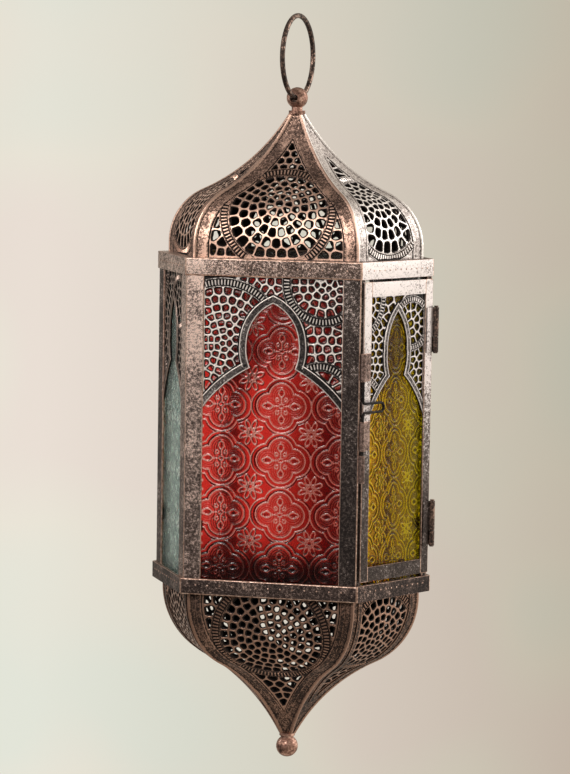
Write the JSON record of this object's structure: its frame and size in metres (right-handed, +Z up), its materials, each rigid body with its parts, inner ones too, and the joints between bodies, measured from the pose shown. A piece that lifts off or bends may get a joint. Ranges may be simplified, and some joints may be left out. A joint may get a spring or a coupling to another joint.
{
  "type": "hanging candle lantern",
  "caption": "Elongated six-sided hanging lantern of pierced copper sheet and coloured figured glass, with ogee domes above and below, a hinged door with a wire bolt, and a candle cup inside.",
  "frame": {"origin": "inside top of the hanging ring, where the hook seats", "axes": "+Z up, the wide red front faces -Y, +X to the right seen from the front"},
  "size_m": [0.174, 0.1144, 0.4469],
  "materials": {
    "antique_copper": "antique copper patina over iron sheet, dark in the hollows and rubbed bright on the edges",
    "dark_wire": "dark bronzed wire",
    "red_glass": "embossed figured glass, red",
    "amber_glass": "embossed figured glass, amber",
    "green_glass": "embossed figured glass, blue-green",
    "clear_glass": "embossed figured glass, clear"
  },
  "bodies": {
    "ring": {"hanging_ring": "dark_wire"},
    "lantern": {"base_band": "antique_copper", "base_panel_back": "antique_copper", "base_panel_back_left": "antique_copper", "base_panel_back_right": "antique_copper", "base_panel_front": "antique_copper", "base_panel_front_left": "antique_copper", "base_panel_front_right": "antique_copper", "candle_cup": "antique_copper", "dome_panel_back": "antique_copper", "dome_panel_back_left": "antique_copper", "dome_panel_back_right": "antique_copper", "dome_panel_front": "antique_copper", "dome_panel_front_left": "antique_copper", "dome_panel_front_right": "antique_copper", "finial": "antique_copper", "floor_plate": "antique_copper", "fret_back": "antique_copper", "fret_back_left": "antique_copper", "fret_back_right": "antique_copper", "fret_front": "antique_copper", "fret_front_left": "antique_copper", "glass_back": "clear_glass", "glass_back_left": "clear_glass", "glass_back_right": "clear_glass", "glass_front": "red_glass", "glass_front_left": "green_glass", "hinge_pins": "dark_wire", "hinge_post_leaf_lower": "antique_copper", "hinge_post_leaf_upper": "antique_copper", "latch_socket": "antique_copper", "pane_tabs": "antique_copper", "post_back_left": "antique_copper", "post_back_right": "antique_copper", "post_front_left": "antique_copper", "post_front_right": "antique_copper", "post_left": "antique_copper", "post_right": "antique_copper", "top_band": "antique_copper", "top_knob": "antique_copper"},
    "door": {"door_fret": "antique_copper", "door_glass": "amber_glass", "door_rail_bottom": "antique_copper", "door_rail_top": "antique_copper", "door_stile_hinge": "antique_copper", "door_stile_latch": "antique_copper", "door_tabs": "antique_copper", "hinge_door_leaf_lower": "antique_copper", "hinge_door_leaf_upper": "antique_copper", "latch_guide_lower": "antique_copper", "latch_guide_upper": "antique_copper"},
    "bolt": {"latch_bolt": "dark_wire"}
  },
  "joints": [
    {"name": "ring_swing", "type": "hinge", "parent": "ring", "child": "lantern", "pos_m": [0, 0, -0.0469], "axis": [0.1564, 0.9877, 0], "range_deg": [-138, 138]},
    {"name": "door_hinge", "type": "hinge", "parent": "lantern", "child": "door", "pos_m": [0.08637, -0.00117, -0.24], "axis": [0, 0, 1], "range_deg": [0, 220]},
    {"name": "bolt_slide", "type": "slide", "parent": "door", "child": "bolt", "axis": [0, 0, 1], "range_m": [-0.0024, 0.0095]}
  ]
}
